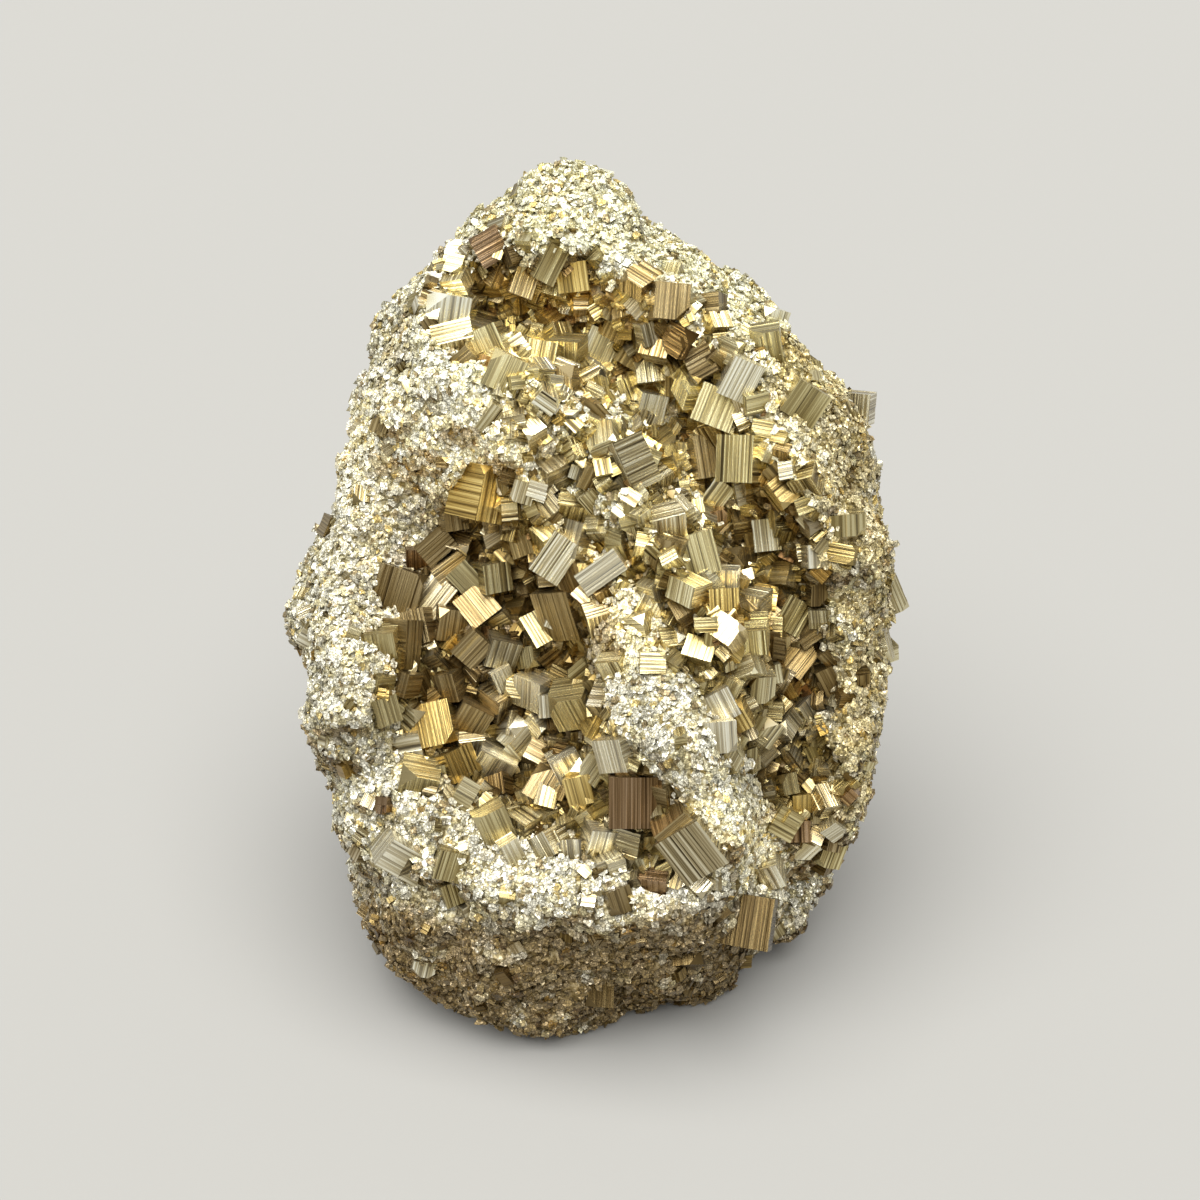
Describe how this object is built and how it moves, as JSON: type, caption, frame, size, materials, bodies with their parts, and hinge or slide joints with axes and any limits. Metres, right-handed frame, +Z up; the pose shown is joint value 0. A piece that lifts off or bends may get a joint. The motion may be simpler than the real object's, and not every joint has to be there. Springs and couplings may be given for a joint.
{
  "type": "pyrite specimen",
  "caption": "Lump of granular massive pyrite with striated cubes grown together in its hollows, standing on a flat base.",
  "frame": {"origin": "on the floor, under the middle of the stone's outline", "axes": "+Z up, along the stone's longest extent; -Y towards the crystal-lined front slope; +X to the right of a viewer of that slope"},
  "size_m": [0.1241, 0.1126, 0.1494],
  "materials": {
    "pyrite": "metallic pale brass yellow, bright on grains and striated cube faces"
  },
  "bodies": {
    "root": {"pyrite_cluster": "pyrite"}
  },
  "joints": []
}
